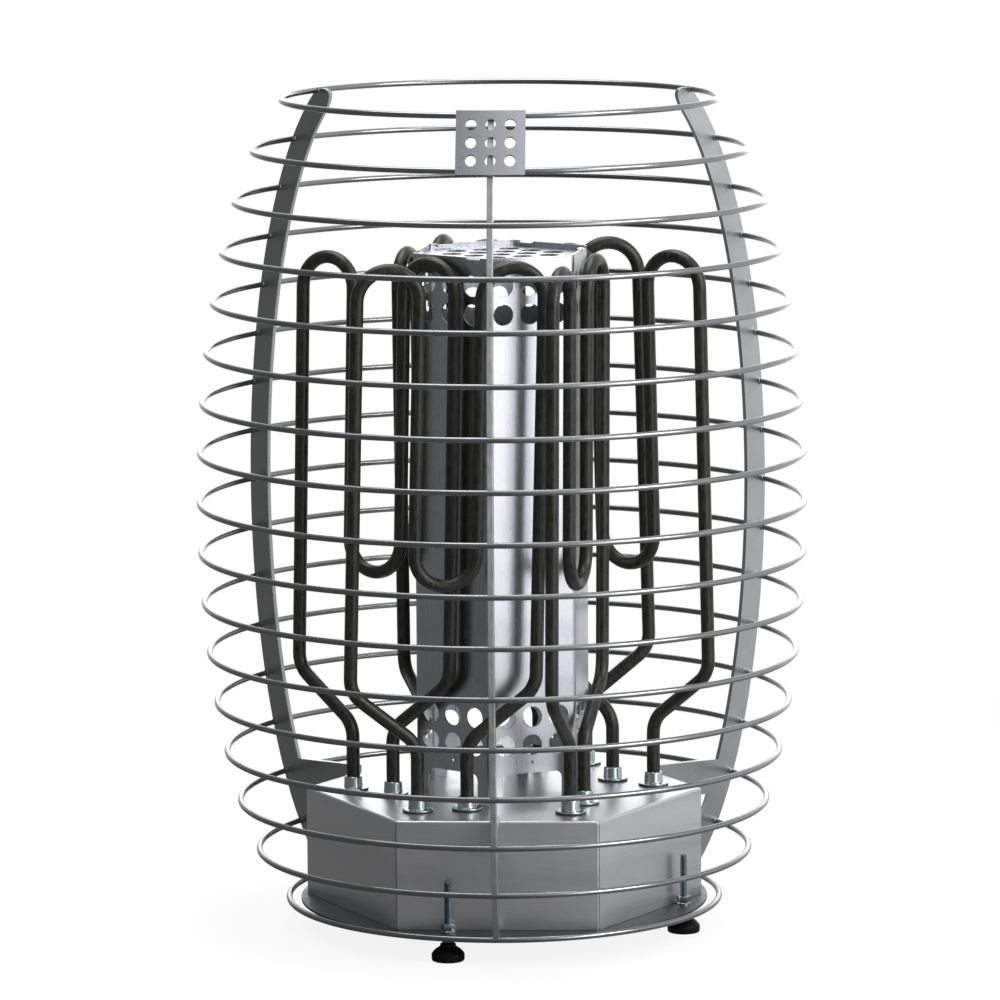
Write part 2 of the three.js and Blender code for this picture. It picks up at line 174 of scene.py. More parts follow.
# Levelling studs: zinc-plated steel rod with a rolled M6 thread, turned by a small hexagon above the pad.
# The thread runs through the base plate and the nut, so each foot is set by turning its stud.

def threaded(radius, depth, pitch, bottom, top, tip_length, tip_taper, sides=16, per_turn=10):
    """Screw of radius - depth * triangle wave of (height / pitch - angle / turn), tapered at its tip."""
    rows = int((top - bottom) / pitch * per_turn) + 1
    height = np.linspace(bottom, top, rows)[:, None]
    angle = np.linspace(0, 2 * np.pi, sides, endpoint=False)[None, :]
    phase = (height / pitch - angle / (2 * np.pi)) % 1
    taper = np.clip((height - top + tip_length) / tip_length, 0, 1) * tip_taper
    r = radius - depth * np.abs(2 * phase - 1) - taper
    points = np.stack([r * np.cos(angle), r * np.sin(angle), height + 0 * angle], -1)
    return points.reshape(-1, 3), capped_faces(rows, sides)


def hexagonal(flat, bore, bottom, top, chamfer, segments=72):
    """Nut: r = flat / cos(angle from a face's middle), cut by a cone at both ends, with a round bore."""
    angle = np.linspace(0, 2 * np.pi, segments, endpoint=False)
    six = flat / np.cos((angle % (np.pi / 3)) - np.pi / 6)
    cone_end, past_corner = flat * 0.98, flat * 1.16
    height = np.array([bottom, bottom, bottom + chamfer, top - chamfer, top, top])
    limit = np.array([bore, cone_end, past_corner, past_corner, cone_end, bore])
    r = np.minimum(six[None, :], limit[:, None])
    points = np.stack([r * np.cos(angle), r * np.sin(angle), np.repeat(height[:, None], segments, 1)], -1)
    return points.reshape(-1, 3), grid_faces(len(height), segments, close_rows=True).tolist()


def joined(*shapes):
    """Several shapes as one: points stacked, and face indices moved on by the points before them."""
    starts = np.cumsum([0, *[len(points) for points, _ in shapes]])
    faces = [(np.array(face) + start).tolist()
             for (_, some), start in zip(shapes, starts) for face in some]
    return np.vstack([points for points, _ in shapes]), faces


STUD_RADIUS, STUD_BOTTOM, STUD_TOP = 0.003, 0.0094, 0.067
THREAD_PITCH, THREAD_DEPTH, TIP_LENGTH, TIP_TAPER = 0.001, 0.0004, 0.0012, 0.0008
HEX_FLAT, HEX_BORE, HEX_BOTTOM, HEX_TOP, HEX_CHAMFER = 0.0042, 0.0022, 0.0149, 0.0172, 0.0004
stud_zinc = finish_of("blue zinc plate", (0.095, 0.135, 0.165), 1, 0.17, grain=(200, 200, 200),
                      colour_spread=0.1, rough_spread=0.05)
for foot in FEET:
    points, faces = joined(threaded(STUD_RADIUS, THREAD_DEPTH, THREAD_PITCH, STUD_BOTTOM, STUD_TOP,
                                    TIP_LENGTH, TIP_TAPER),
                           hexagonal(HEX_FLAT, HEX_BORE, HEX_BOTTOM, HEX_TOP, HEX_CHAMFER))
    offset = centre_of(f"foot_stud_{foot}") * (1, 1, 0)
    piece(f"levelling-stud-{foot}", (points + offset, faces), stud_zinc, f"stud_{foot}",
          [f"foot_stud_{foot}"], sharp=50)


# Base plate: a round stainless disc, laser cut, that the box, ribs and feet are fixed to.
# The flanged nuts that hold the studs are welded to its upper side.

base_low, base_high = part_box("base_plate")
BASE_RADIUS, BASE_POLE, BASE_EDGE = base_high.x, 0.001, 0.0005
# The plate's steel is painted far darker than the box's sheet. This is painted shade, standing in for the
# dark box front it reflects and the shade between the box and the lowest hoop.
shaded_plate_steel = finish_of("base plate steel with painted shade", (0.11, 0.115, 0.12), 1, 0.4, grain=(90, 90, 90),
                        colour_spread=0.12)
base_profile = rounded([(BASE_POLE, base_low.z), (BASE_RADIUS, base_low.z), (BASE_RADIUS, base_high.z),
                        (BASE_POLE, base_high.z)], BASE_EDGE)
piece("base-plate", turned(base_profile, 160), shaded_plate_steel, "stove", ["base_plate"])

NUT_FLAT, NUT_HEIGHT, NUT_BORE, NUT_CHAMFER, NUT_LIFT = 0.005, 0.0060, 0.0032, 0.0007, 0.0001
WASHER_RADIUS, WASHER_HEIGHT, WASHER_EDGE = 0.0062, 0.0016, 0.0003
zinc = finish_of("bright zinc plate", (0.42, 0.49, 0.50), 1, 0.17, grain=(60, 60, 60), colour_spread=0.08,
                 rough_spread=0.04)
washer = turned([(NUT_BORE, 0), (WASHER_RADIUS, 0), (WASHER_RADIUS, WASHER_HEIGHT - WASHER_EDGE),
                 (WASHER_RADIUS - WASHER_EDGE, WASHER_HEIGHT), (NUT_BORE, WASHER_HEIGHT)], ring=True)
nut = hexagonal(NUT_FLAT, NUT_BORE, WASHER_HEIGHT, WASHER_HEIGHT + NUT_HEIGHT, NUT_CHAMFER)
for foot in FEET:
    points, faces = joined(washer, nut)
    offset = centre_of(f"foot_nut_{foot}") * (1, 1, 0) + (0, 0, base_high.z + NUT_LIFT)
    piece(f"flanged-nut-{foot}", (points + offset, faces), zinc, "stove", [f"foot_nut_{foot}"])


# Terminal box: six walls and a top folded from stainless sheet, with open seams at the corners.
# It stands on the base plate and hides the element ends and their wiring.

def hexagon_plan(radius, corner, seam, seam_edge=18, seam_wall=17.9):
    """Hexagon with rounded corners, each cut back in its middle by the depth of the seam."""
    azimuth = np.radians(60 * np.arange(6))[:, None]
    along = azimuth + np.radians([-30, -seam_edge, -seam_wall, seam_wall, seam_edge, 30])
    reach = corner - seam * np.array([0, 0, 1, 1, 0, 0])
    apex = radius - 2 * corner / math.sqrt(3)
    x = apex * np.cos(azimuth) + reach * np.cos(along)
    y = apex * np.sin(azimuth) + reach * np.sin(along)
    return np.stack([x, y], -1).reshape(-1, 2)


box_low, box_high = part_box("terminal_box")
BOX_RADIUS, BOX_TOP = box_high.x, box_high.z
BOX_APOTHEM = BOX_RADIUS * math.cos(math.radians(30))
BOX_FOLD, BOX_CORNER, BOX_SEAM = 0.0022, 0.003, 0.0012
sheet_steel = finish_of("brushed stainless sheet", (0.60, 0.605, 0.62), 1, 0.36, grain=(40, 40, 900),
                        colour_spread=0.05, rough_spread=0.04, bump=0.000008)
wall_plan = hexagon_plan(BOX_RADIUS, BOX_CORNER, BOX_SEAM)
fold = np.radians(np.linspace(0, 90, 6))[1:]
inset = np.concatenate([[0, 0], BOX_FOLD * (1 - np.cos(fold)), [BOX_FOLD * 3, BOX_RADIUS / 2]])
level = np.concatenate([[box_low.z, BOX_TOP - BOX_FOLD], BOX_TOP - BOX_FOLD * (1 - np.sin(fold)),
                        [BOX_TOP, BOX_TOP]])
share = 1 - inset / BOX_APOTHEM
points = np.concatenate([wall_plan[None] * share[:, None, None],
                         np.repeat(level[:, None, None], len(wall_plan), 1)], -1).reshape(-1, 3)
faces = grid_faces(len(share), len(wall_plan)).tolist()
faces.append(list(range(len(points) - len(wall_plan), len(points))))
piece("terminal-box", (points, faces), sheet_steel, "stove", ["terminal_box"])


# Terminal block and earth stud: a glazed ceramic block and a plated screw, fixed inside the box.
# The closed box hides them, so both keep their CAD meshes.

ceramic = finish_of("glazed ceramic", (0.72, 0.67, 0.57), 0, 0.3, grain=(80, 80, 80))
for node, material, slot in (("terminal_block", ceramic, "ceramic"), ("earth_stud", zinc, "zinc_plate")):
    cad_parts[node].data.materials.clear()
    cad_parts[node].data.materials.append(material)


# Cable gland: a black plastic screw fitting in the back wall of the box, for the supply cable.
# A dome nut outside and a lock nut inside grip the sheet.

gland_low, gland_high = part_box("cable_gland")
GLAND_RADIUS, GLAND_BORE, LOCK_NUT, GLAND_NECK = 0.013, 0.0055, 0.0118, 0.0100
DOME_SHOULDER, DOME_MOUTH, DOME_ROUND = 0.0112, 0.0085, 0.0015
WALL_MIDDLE, WALL_HALF, GLAND_INSIDE = 0.14647, 0.0011, 0.0158
DOME_FROM, SHOULDER_OUT, GLAND_OUTSIDE = 0.0105, 0.0148, 0.0178
gland_profile = np.vstack([
    [(GLAND_BORE, -GLAND_INSIDE), (LOCK_NUT, -GLAND_INSIDE), (LOCK_NUT, -WALL_HALF),
     (GLAND_NECK, -WALL_HALF), (GLAND_NECK, WALL_HALF)],
    rounded([(GLAND_RADIUS, WALL_HALF), (GLAND_RADIUS, DOME_FROM), (DOME_SHOULDER, SHOULDER_OUT),
             (DOME_MOUTH, GLAND_OUTSIDE)], DOME_ROUND),
    [(GLAND_BORE, GLAND_OUTSIDE)]])
points, faces = turned(gland_profile, ring=True)
points = points[:, [0, 2, 1]] * (-1, 1, 1) + (0, WALL_MIDDLE, (gland_low.z + gland_high.z) / 2)
piece("cable-gland", (points, faces), black_plastic, "stove", ["cable_gland"])


# Air column: a six-sided tube folded from one stainless sheet, punched with round holes near both ends.
# It stands on its corners over wide openings, and a tab of each wall's rim folds in over the cap.

def welded(points, faces):
    """Merges points that share a place to a hundredth of a millimetre, and renumbers the faces."""
    place = np.round(points * 1e5).astype(int)
    _, first, number = np.unique(place, axis=0, return_index=True, return_inverse=True)
    number = number.reshape(-1)
    return points[first], [number[face].tolist() for face in faces]


def lattice(columns, rows, keep):
    """Flat grid of points (column, row) with the quads whose middle passes the test keep(s, t)."""
    s, t = np.meshgrid(columns, rows)
    middle_s, middle_t = np.meshgrid((columns[1:] + columns[:-1]) / 2, (rows[1:] + rows[:-1]) / 2)
    quads = grid_faces(len(rows), len(columns), close_columns=False)
    return np.stack([s, t], -1).reshape(-1, 2), quads[keep(middle_s, middle_t).reshape(-1)]


def ring_patch(inner, outer, closed=True):
    """Two rings of quads between outlines of as many points: (1 - v) inner + v outer."""
    v = np.linspace(0, 1, 3)[:, None, None]
    points = ((1 - v) * inner + v * outer).reshape(-1, 2)
    return points, grid_faces(3, len(inner), close_columns=closed)[:, ::-1]


def cell_hole(centre, half, radius, per_side=8):
    """Hole in an oblong cell: each point of the cell's edge goes to the circle at the same angle."""
    edge = np.linspace(-1, 1, per_side, endpoint=False)
    one = np.ones(per_side)
    cell = np.concatenate([np.stack([edge, -one], -1), np.stack([one, edge], -1),
                           np.stack([-edge, one], -1), np.stack([-one, -edge], -1)]) * half
    circle = cell * radius / np.linalg.norm(cell, axis=1, keepdims=True)
    return ring_patch(circle + centre, cell + centre)


column_low, column_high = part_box("air_column")
COLUMN_RADIUS, COLUMN_BEND, SHEET = 0.079, 0.004, 0.0015
COLUMN_TURN = -6.8    # degrees
APOTHEM = COLUMN_RADIUS * math.cos(math.radians(30))
HOLE_PITCH, HOLE_RADIUS = 0.024, 0.0089
HALF_CELL = HOLE_PITCH / 2
ROWS_LOW, ROWS_HIGH = (0.166, 0.190), (0.533, 0.557)
NOTCH_DEPTH = 0.0025
RIM, NOTCH_FLOOR = column_high.z, column_high.z - NOTCH_DEPTH
LEG_MIDDLE, CUTOUT_HALF, CUTOUT_TOP, CUTOUT_ROUND = 0.127, 0.027, 0.142, 0.006
SCREW_AT, SCREW_CELL, SCREW_HOLE = 0.151, 0.003, 0.0014
TAB_FROM, TAB_TO, TAB_SLACK, TAB_BEND, TAB_DEPTH = 0.018, 0.033, 0.0001, 0.0014, 0.006
column_steel = finish_of("bright stainless sheet", (0.48, 0.49, 0.525), 1, 0.28, grain=(700, 700, 30),
                         colour_spread=0.03, rough_spread=0.015)
flat_end = COLUMN_RADIUS / 2 - COLUMN_BEND * math.tan(math.radians(30))
bend_at = flat_end + COLUMN_BEND * np.radians([10, 20, 30])
cell_lines = np.linspace(-1.5, 1.5, 25) * HOLE_PITCH
columns = np.concatenate([-bend_at[::-1], [-flat_end], cell_lines, [flat_end], bend_at])
field_low = np.linspace(ROWS_LOW[0] - HALF_CELL, ROWS_LOW[1] + HALF_CELL, 17)
field_high = np.linspace(ROWS_HIGH[0] - HALF_CELL, ROWS_HIGH[1] + HALF_CELL, 17)
plain_rows = np.linspace(field_low[-1], field_high[0], 9)[1:-1]
foot_rows = [column_low.z, LEG_MIDDLE, CUTOUT_TOP - CUTOUT_ROUND, CUTOUT_TOP - CUTOUT_ROUND / 2,
             CUTOUT_TOP, SCREW_AT - SCREW_CELL, SCREW_AT]
rows = np.concatenate([foot_rows, field_low, plain_rows, field_high, [NOTCH_FLOOR, RIM]])


def wall_kept(s, t):
    """True for sheet that is left, outside the holes, the opening at the foot and the notch in the rim."""
    in_field = (np.abs(s) < cell_lines[-1]) & (((t > field_low[0]) & (t < field_low[-1]))
                                               | ((t > field_high[0]) & (t < field_high[-1])))
    in_opening = (np.abs(s) < CUTOUT_HALF) & (t < CUTOUT_TOP)
    in_notch = (s > TAB_FROM) & (s < TAB_TO) & (t > NOTCH_FLOOR)
    in_screw_cell = (np.abs(s) < SCREW_CELL) & (np.abs(t - SCREW_AT) < SCREW_CELL)
    return ~(in_field | in_opening | in_notch | in_screw_cell)


def folded(flat, face, inward=0.0):
    """Wraps flat points (s, height) of one wall round the tube, with a round bend at both its ends."""
    s, height = flat.T
    beyond = np.clip(np.abs(s) - flat_end, 0, None) / COLUMN_BEND
    out = APOTHEM - COLUMN_BEND * (1 - np.cos(beyond)) - inward
    along = np.sign(s) * (np.minimum(np.abs(s), flat_end) + COLUMN_BEND * np.sin(beyond))
    azimuth = math.radians(COLUMN_TURN - 60 + 60 * face)
    x = out * math.cos(azimuth) - along * math.sin(azimuth)
    y = out * math.sin(azimuth) + along * math.cos(azimuth)
    return np.stack([x, y, height], -1)


shapes = [lattice(columns, rows, wall_kept),
          cell_hole((0, SCREW_AT), (SCREW_CELL, SCREW_CELL), SCREW_HOLE, per_side=2)]
for row in ROWS_LOW + ROWS_HIGH:
    for place in (-HOLE_PITCH, 0, HOLE_PITCH):
        shapes.append(cell_hole((place, row), (HALF_CELL, HALF_CELL), HOLE_RADIUS))
arc = np.radians(np.linspace(0, 90, 5))
round_edge = np.stack([CUTOUT_HALF - CUTOUT_ROUND * (1 - np.cos(arc)),
                       CUTOUT_TOP - CUTOUT_ROUND * (1 - np.sin(arc))], -1)
square_edge = np.array([(0, 0), (0, 0.5), (0, 1), (-0.5, 1), (-1, 1)]) * CUTOUT_ROUND
square_edge = square_edge + (CUTOUT_HALF, CUTOUT_TOP - CUTOUT_ROUND)
for side in (-1, 1):
    patch, quads = ring_patch(round_edge * (side, 1), square_edge * (side, 1), closed=False)
    shapes.append((patch, quads[:, ::side]))
flat_wall, wall_faces = joined(*shapes)

tab_across = cell_lines[(cell_lines > TAB_FROM - TAB_SLACK) & (cell_lines < TAB_TO + TAB_SLACK)]
tab_in = np.concatenate([TAB_BEND * (1 - np.cos(arc)), [TAB_DEPTH]])
tab_up = np.concatenate([TAB_BEND * np.sin(arc), [TAB_BEND]]) + NOTCH_FLOOR
tab_flat = np.stack(np.meshgrid(tab_across, tab_up), -1).reshape(-1, 2)
tab_inward = np.repeat(tab_in, len(tab_across))
tab_faces = grid_faces(len(tab_up), len(tab_across), close_columns=False)
walls = []
for face in range(6):
    walls.append((folded(flat_wall, face), wall_faces))
    walls.append((folded(tab_flat, face, tab_inward), tab_faces))
column = piece("air-column", welded(*joined(*walls)), column_steel, "stove", ["air_column"],
               smooth=False)
column_sheet = column.modifiers.new("sheet", "SOLIDIFY")
column_sheet.thickness = SHEET
column_sheet.offset = -1


# Column cap: a flat punched sheet laid in the top of the column, to let hot air out and keep stones out.
# Its holes stand in a hexagon of staggered rows that follow the column's walls.

def hexagon_hole(centre, apothem, radius, per_side=4):
    """Hole in a six-sided cell: each point of the cell's edge goes to the circle at the same angle."""
    corner = np.radians(30 + 60 * np.arange(7))
    corners = np.stack([np.cos(corner), np.sin(corner)], -1) * apothem / math.cos(math.radians(30))
    t = np.arange(per_side)[None, :, None] / per_side
    cell = ((1 - t) * corners[:-1, None] + t * corners[1:, None]).reshape(-1, 2)
    circle = cell * radius / np.linalg.norm(cell, axis=1, keepdims=True)
    return ring_patch(circle + centre, cell + centre)


def about_axis(points, degrees):
    """Turns points about Z by an angle in degrees."""
    c, s = math.cos(math.radians(degrees)), math.sin(math.radians(degrees))
    return points @ np.array([[c, s, 0], [-s, c, 0], [0, 0, 1]])


cap_low, cap_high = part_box("column_cap")
CAP_GAP, CAP_HOLE, CAP_RINGS = 0.0003, 0.0086, 2
CAP_APOTHEM = APOTHEM - SHEET - CAP_GAP
step = np.arange(-CAP_RINGS, CAP_RINGS + 1)
i, j = np.meshgrid(step, step)
centres = np.stack([i + j / 2, j * math.sqrt(3) / 2], -1)[np.abs(i + j) <= CAP_RINGS] * HOLE_PITCH
cells, cell_faces = joined(*[hexagon_hole(centre, HALF_CELL, CAP_HOLE) for centre in centres])
cells, cell_faces = welded(np.pad(cells, ((0, 0), (0, 1))), cell_faces)
edges = {pair for face in cell_faces for pair in zip(face, face[1:] + face[:1])}
open_starts = np.array(sorted({start for start, end in edges if (end, start) not in edges}))
from_hole = np.linalg.norm(cells[open_starts, None, :2] - centres, axis=2).min(1)
border = open_starts[from_hole > (CAP_HOLE + HALF_CELL) / 2]
border_angle = np.arctan2(cells[border, 1], cells[border, 0])
order = np.argsort(border_angle)
border, border_angle = border[order], border_angle[order]
edge_radius = CAP_APOTHEM / np.cos((border_angle % (np.pi / 3)) - np.pi / 6)
sheet_edge = np.stack([edge_radius * np.cos(border_angle), edge_radius * np.sin(border_angle),
                       0 * border_angle], -1)
edge = len(cells) + np.arange(len(border))
margin = np.stack([border, edge, np.roll(edge, -1), np.roll(border, -1)], -1)
cap_points = about_axis(np.vstack([cells, sheet_edge]), COLUMN_TURN - 30) + (0, 0, cap_high.z)
cap = piece("column-cap", (cap_points, cell_faces + margin.tolist()), column_steel, "stove",
            ["column_cap"], smooth=False)
cap_sheet = cap.modifiers.new("sheet", "SOLIDIFY")
cap_sheet.thickness = cap_high.z - cap_low.z
cap_sheet.offset = -1


# Heating elements: steel tube filled with magnesia, bent cold to an M in one plane and dark from heat.
# Both ends spread from a pair of terminals in the top of the box.

def bent_rod(start, moves, step=7.5):
    """Stations (x, z) of a rod that starts upwards: straight runs, and arcs by radius and left turn."""
    place, heading = np.array(start, float), 90.0
    places, headings = [place], [heading]
    for run, radius, turn in moves:
        count = max(1, math.ceil(abs(turn) / step)) if turn else 6
        angles = heading + turn * np.arange(1, count + 1) / count
        if turn:
            normal = np.radians(heading + 90 * np.sign(turn))
            centre = place + radius * np.array((math.cos(normal), math.sin(normal)))
            swing = np.radians(angles - 90 * np.sign(turn))
            steps = centre + radius * np.stack([np.cos(swing), np.sin(swing)], -1)
        else:
            ahead = np.array((math.cos(math.radians(heading)), math.sin(math.radians(heading))))
            steps = place + np.outer(np.arange(1, count + 1) / count * run, ahead)
        places.extend(steps)
        headings.extend(angles)
        place, heading = steps[-1], heading + turn
    return np.array(places), np.radians(headings)


def tube(path, tangent, normal, radius, sides=14, closed=False):
    """Circle carried along a flat path: path + radius (cos a normal + sin a tangent x normal)."""
    angle = np.linspace(0, 2 * np.pi, sides, endpoint=False)[None, :, None]
    across = np.cross(tangent, normal)
    points = path[:, None] + radius * (np.cos(angle) * normal + np.sin(angle) * across[:, None])
    faces = (grid_faces(len(path), sides, close_rows=True).tolist() if closed
             else capped_faces(len(path), sides))
    return points.reshape(-1, 3), faces


ROD_RADIUS, LEG_PITCH, ROD_TOP, MIDDLE_BEND, TAIL = 0.0057, 0.0526, 0.458, 0.191, 0.032
TERMINAL_PITCH, JOG_FOOT, JOG_ANGLE, JOG_RADIUS = 0.042, 0.045, 52, 0.025
LEAN = math.tan(math.radians(1.5))
SEAT_RADIUS = 0.113
SEATS = [(azimuth + half, turn + half) for half in (0, 180)
         for azimuth, turn in ((-168.5, -32.5), (-115, 11.4), (-54.5, 75.8))]
oxide = finish_of("oxidised heating tube", (0.020, 0.0205, 0.0145), 0.35, 0.36, grain=(420, 420, 110),
                  colour_spread=0.55, rough_spread=0.12, bump=0.00006)
bend = LEG_PITCH / 2
jog_sine, jog_cosine = math.sin(math.radians(JOG_ANGLE)), math.cos(math.radians(JOG_ANGLE))
slant = (1.5 * LEG_PITCH - TERMINAL_PITCH / 2 - 2 * JOG_RADIUS * (1 - jog_cosine)) / jog_sine
outer_leg = ROD_TOP - bend - JOG_FOOT - 2 * JOG_RADIUS * jog_sine - slant * jog_cosine
inner_leg = ROD_TOP - MIDDLE_BEND - 2 * bend
rod_path, rod_heading = bent_rod((-TERMINAL_PITCH / 2, -TAIL), [
    (TAIL + JOG_FOOT, 0, 0), (0, JOG_RADIUS, JOG_ANGLE), (slant, 0, 0), (0, JOG_RADIUS, -JOG_ANGLE),
    (outer_leg, 0, 0), (0, bend, -180), (inner_leg, 0, 0), (0, bend, 180),
    (inner_leg, 0, 0), (0, bend, -180), (outer_leg, 0, 0),
    (0, JOG_RADIUS, -JOG_ANGLE), (slant, 0, 0), (0, JOG_RADIUS, JOG_ANGLE), (TAIL + JOG_FOOT, 0, 0)])
above = rod_path[:, 1] > JOG_FOOT
rod_path[:, 0] += LEAN * np.clip(rod_path[:, 1] - JOG_FOOT, 0, None)
rod_tangent = np.stack([np.cos(rod_heading) + LEAN * np.sin(rod_heading) * above, np.sin(rod_heading)], -1)
rod_tangent /= np.linalg.norm(rod_tangent, axis=1, keepdims=True)


def upright(flat, turn):
    """Stands (x, z) of an element's plane up as (x, 0, z), turned about Z."""
    return about_axis(np.insert(flat, 1, 0, axis=1), turn)


def seat_at(azimuth):
    """Middle of an element's pair of terminals on the top of the box."""
    angle = math.radians(azimuth)
    return np.array((SEAT_RADIUS * math.cos(angle), SEAT_RADIUS * math.sin(angle), BOX_TOP))


for number, (azimuth, turn) in enumerate(SEATS, 1):
    side = about_axis(np.array((0, 1.0, 0)), turn)
    shape = tube(upright(rod_path, turn) + seat_at(azimuth), upright(rod_tangent, turn), side, ROD_RADIUS)
    piece(f"heating-element-{number}", shape, oxide, "stove", [f"element_{number}"],
          sharp=60)


# Element fittings: a plated steel flange and collar pressed on each element end, over a dark seal.
# They clamp the elements to the top of the box.

FLANGE, COLLAR, FITTING_BORE, FITTING_ROUND = 0.0128, 0.0076, 0.0058, 0.0006
FLANGE_LOW, FLANGE_EDGE, FLANGE_TOP, COLLAR_FOOT, COLLAR_TOP = 0.0015, 0.0016, 0.0024, 0.0027, 0.0120
EDGE_BREAK, COLLAR_FLARE, COLLAR_CHAMFER = 0.0003, 0.0005, 0.0008
SEAL_LOW, SEAL_MIDDLE, SEAL_TOP, SEAL_BULGE = 0.0002, 0.0008, 0.0014, 0.0002
seal_rubber = finish_of("dark green seal", (0.02, 0.035, 0.022), 0, 0.6)
fitting_profile = np.vstack([
    [(FITTING_BORE, FLANGE_LOW), (FLANGE - EDGE_BREAK, FLANGE_LOW)],
    rounded([(FLANGE, FLANGE_EDGE), (FLANGE, FLANGE_TOP), (COLLAR + COLLAR_FLARE, COLLAR_FOOT),
             (COLLAR, COLLAR_TOP - COLLAR_CHAMFER), (COLLAR - COLLAR_CHAMFER, COLLAR_TOP)], FITTING_ROUND),
    [(FITTING_BORE, COLLAR_TOP)]])
seal_profile = [(FITTING_BORE, SEAL_LOW), (FLANGE, SEAL_LOW), (FLANGE + SEAL_BULGE, SEAL_MIDDLE),
                (FLANGE, SEAL_TOP), (FITTING_BORE, SEAL_TOP)]
for number, (azimuth, turn) in enumerate(SEATS, 1):
    for end, side in (("a", -0.5), ("b", 0.5)):
        terminal = upright(np.array([[side * TERMINAL_PITCH, 0]]), turn) + seat_at(azimuth)
        points, faces = turned(fitting_profile, 32, ring=True)
        piece(f"element-fitting-{number}{end}", (points + terminal, faces), zinc, "stove",
              [f"fitting_{number}{end}"])
        points, faces = turned(seal_profile, 32, ring=True)
        piece(f"element-seal-{number}{end}", (points + terminal, faces), seal_rubber, "stove")


# Ribs: three flat stainless bars, laser cut to the barrel's curve, with the hoops on their outer edge.
# A tab at the foot of each reaches in to the box wall, and the top end is rounded on its inner side.

HOOPS = [f"hoop_{k:02d}" for k in range(1, 18)]
HOOP_ROD = 0.0025
HOOP_HEIGHTS = np.array([centre_of(node)[2] for node in HOOPS])
HOOP_RADII = np.array([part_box(node)[1].x for node in HOOPS]) - HOOP_ROD
CAGE_CORE, CAGE_BULGE, CAGE_PITCHES = 0.1475, 0.110, 8.5
CAGE_MIDDLE = HOOP_HEIGHTS.mean()
CAGE_HALF = CAGE_PITCHES * (HOOP_HEIGHTS[0] - HOOP_HEIGHTS[1])
RIBS = {"rib_front": -90, "rib_right": 30, "rib_left": 150}
RIB_WIDTH, RIB_HALF, RIB_EDGE, RIB_PROUD, RIB_GAP = 0.020, 0.0025, 0.0004, 0.0008, 0.0003
RIB_TIP, RIB_ROUND, RIB_TIP_WIDTH = 0.0015, 0.022, 0.006
TAB_TOP, TAB_BOTTOM, SQUARE_STEP = 0.122, 0.092, 1e-5
cage_steel = finish_of("satin stainless bar", (0.37, 0.375, 0.38), 1, 0.27, grain=(25, 25, 25),
                       colour_spread=0.05, rough_spread=0.03)
# The outer edge of each bar gets its own steel. It is rougher, as a cut face is, and lighter than the
# sides, which is a painted highlight for the light that edge catches.
cut_edge_painted_highlight = finish_of("rougher rib edge with painted highlight", (0.52, 0.525, 0.535), 1, 0.5, grain=(400, 400, 90),
                     colour_spread=0.12)


def cage_radius(height):
    """Half an ellipse: core + bulge * sqrt(1 - rise^2), where rise is (height - middle) / half."""
    return CAGE_CORE + CAGE_BULGE * np.sqrt(1 - ((height - CAGE_MIDDLE) / CAGE_HALF) ** 2)


def rib_width(height):
    """The bar's level width, for RIB_WIDTH square to the curve: width * sqrt(1 + slope^2)."""
    rise = (height - CAGE_MIDDLE) / CAGE_HALF
    slope = CAGE_BULGE * rise / (CAGE_HALF * np.sqrt(1 - rise ** 2))
    return RIB_WIDTH * np.sqrt(1 + slope ** 2)


rib_bottom, rib_top = base_high.z + RIB_GAP, HOOP_HEIGHTS[0] + RIB_TIP
round_from = rib_top - RIB_ROUND
heights = np.unique(np.concatenate([
    np.linspace(rib_bottom, round_from, 120),
    rib_top - RIB_ROUND * (1 - np.sin(np.radians(np.linspace(0, 89, 14)))),
    [TAB_BOTTOM, TAB_BOTTOM + SQUARE_STEP, TAB_TOP - SQUARE_STEP, TAB_TOP]]))
inner = cage_radius(heights) + HOOP_ROD - rib_width(heights)
outer = cage_radius(heights) + RIB_PROUD
rise = np.clip((heights - round_from) / RIB_ROUND, 0, 1)
inner += (outer - RIB_TIP_WIDTH - inner) * (1 - np.sqrt(1 - rise ** 2))
inner[(heights > TAB_BOTTOM) & (heights < TAB_TOP)] = BOX_APOTHEM + RIB_GAP
section = [(outer, RIB_HALF - RIB_EDGE), (outer - RIB_EDGE, RIB_HALF), (inner + RIB_EDGE, RIB_HALF),
           (inner, RIB_HALF - RIB_EDGE), (inner, RIB_EDGE - RIB_HALF), (inner + RIB_EDGE, -RIB_HALF),
           (outer - RIB_EDGE, -RIB_HALF), (outer, RIB_EDGE - RIB_HALF)]
rib_points = np.stack([np.stack([reach, np.full_like(heights, side), heights], -1)
                       for reach, side in section], 1).reshape(-1, 3)
rib_faces = capped_faces(len(heights), len(section))
on_outer_edge = np.isin(np.arange(len(rib_faces)) % len(section), (0, 6, 7))
on_outer_edge[-2:] = False
for node, azimuth in RIBS.items():
    rib = piece(node.replace("_", "-"), (about_axis(rib_points, azimuth), rib_faces), cage_steel,
                "stove", [node], sharp=30)
    # Faces of the outer edge take the rougher steel with the painted highlight.
    rib.data.materials.append(cut_edge_painted_highlight)
    rib.data.polygons.foreach_set("material_index", on_outer_edge.astype(np.int32))


# Hoops: round stainless rod, rolled to rings that widen to the middle of the barrel and welded shut.
# Each is let into the outer edge of the ribs, with a small weld bead on both sides of each rib.

rod_steel = finish_of("drawn stainless rod", (0.25, 0.253, 0.26), 1, 0.18, grain=(25, 25, 25),
                      colour_spread=0.06, rough_spread=0.03)
ring_angle = np.linspace(0, 2 * np.pi, 192, endpoint=False)
around = np.stack([np.cos(ring_angle), np.sin(ring_angle), 0 * ring_angle], -1)
forward = np.stack([-np.sin(ring_angle), np.cos(ring_angle), 0 * ring_angle], -1)
upward = np.array((0, 0, 1.0))
for node, radius, height in zip(HOOPS, HOOP_RADII, HOOP_HEIGHTS):
    shape = tube(around * radius + upward * height, forward, upward, HOOP_ROD, 12, closed=True)
    piece(node.replace("_", "-"), shape, rod_steel, "stove", [node], sharp=60)

